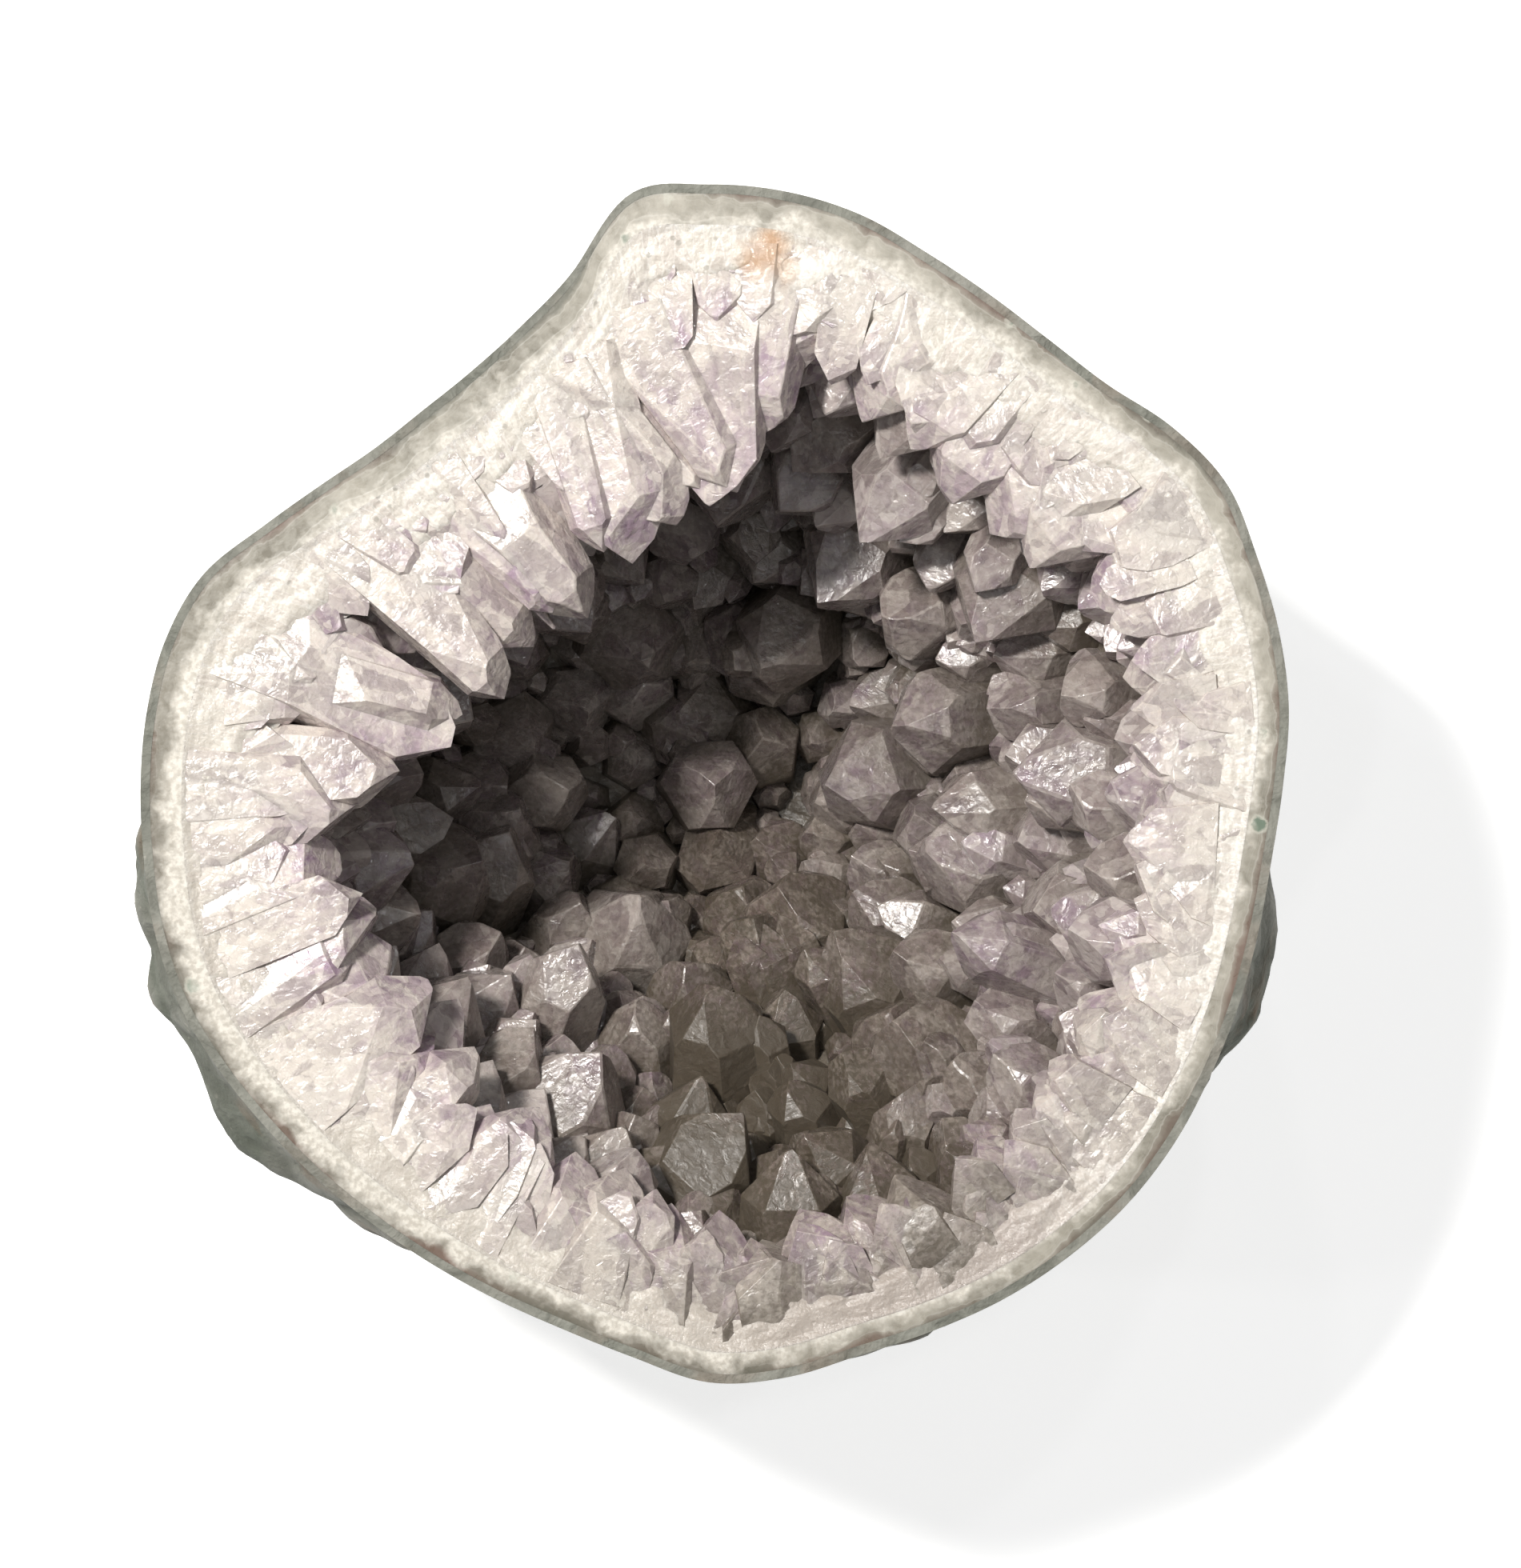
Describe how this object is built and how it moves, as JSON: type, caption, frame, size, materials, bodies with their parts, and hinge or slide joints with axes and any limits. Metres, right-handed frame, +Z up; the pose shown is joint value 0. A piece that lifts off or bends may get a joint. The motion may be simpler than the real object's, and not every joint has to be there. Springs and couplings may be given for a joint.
{
  "type": "geode half",
  "caption": "Half of a hollow agate nodule, sawn flat and lying on its rounded back, with a thin skin, an agate band, a white quartz wall and pale amethyst crystals around a deep hollow",
  "frame": {"origin": "on the surface the stone lies on, under the middle of its outline", "axes": "+Z is up, square to the sawn face, which is level; +Y is the way the outline's pointed end faces; +X is to the right of that, seen from above"},
  "size_m": [0.1303, 0.1354, 0.078],
  "materials": {
    "skin": "matte",
    "agate": "polished",
    "quartz": "satin",
    "crystal_pale": "gloss",
    "crystal_violet": "gloss",
    "crystal_dusty": "gloss"
  },
  "bodies": {
    "root": {"skin": "skin", "agate_band": "agate", "quartz_wall": "quartz", "crystal_01": "crystal_pale", "crystal_02": "crystal_violet", "crystal_03": "crystal_pale", "crystal_04": "crystal_dusty", "crystal_05": "crystal_pale", "crystal_06": "crystal_violet", "crystal_07": "crystal_pale", "crystal_08": "crystal_dusty", "crystal_09": "crystal_pale", "crystal_10": "crystal_violet", "crystal_11": "crystal_pale", "crystal_12": "crystal_dusty", "crystal_13": "crystal_pale", "crystal_14": "crystal_violet", "crystal_15": "crystal_pale", "crystal_16": "crystal_dusty", "crystal_17": "crystal_pale", "crystal_18": "crystal_violet", "crystal_19": "crystal_pale", "crystal_20": "crystal_dusty", "crystal_21": "crystal_pale", "crystal_22": "crystal_violet", "crystal_23": "crystal_pale", "crystal_24": "crystal_dusty", "crystal_25": "crystal_pale", "crystal_26": "crystal_violet", "crystal_27": "crystal_pale", "crystal_28": "crystal_dusty", "crystal_29": "crystal_pale", "crystal_30": "crystal_violet", "crystal_31": "crystal_pale", "crystal_32": "crystal_dusty", "crystal_33": "crystal_pale", "crystal_34": "crystal_violet", "crystal_35": "crystal_pale", "crystal_36": "crystal_dusty", "crystal_37": "crystal_pale", "crystal_38": "crystal_violet", "crystal_39": "crystal_pale", "crystal_40": "crystal_dusty", "crystal_41": "crystal_pale", "crystal_42": "crystal_violet", "crystal_43": "crystal_pale", "crystal_44": "crystal_dusty", "crystal_45": "crystal_pale", "crystal_46": "crystal_violet", "crystal_47": "crystal_pale", "crystal_48": "crystal_dusty", "crystal_49": "crystal_pale", "crystal_50": "crystal_violet", "crystal_51": "crystal_pale", "crystal_52": "crystal_dusty", "crystal_53": "crystal_pale", "crystal_54": "crystal_violet", "crystal_55": "crystal_pale", "crystal_56": "crystal_dusty"}
  },
  "joints": []
}
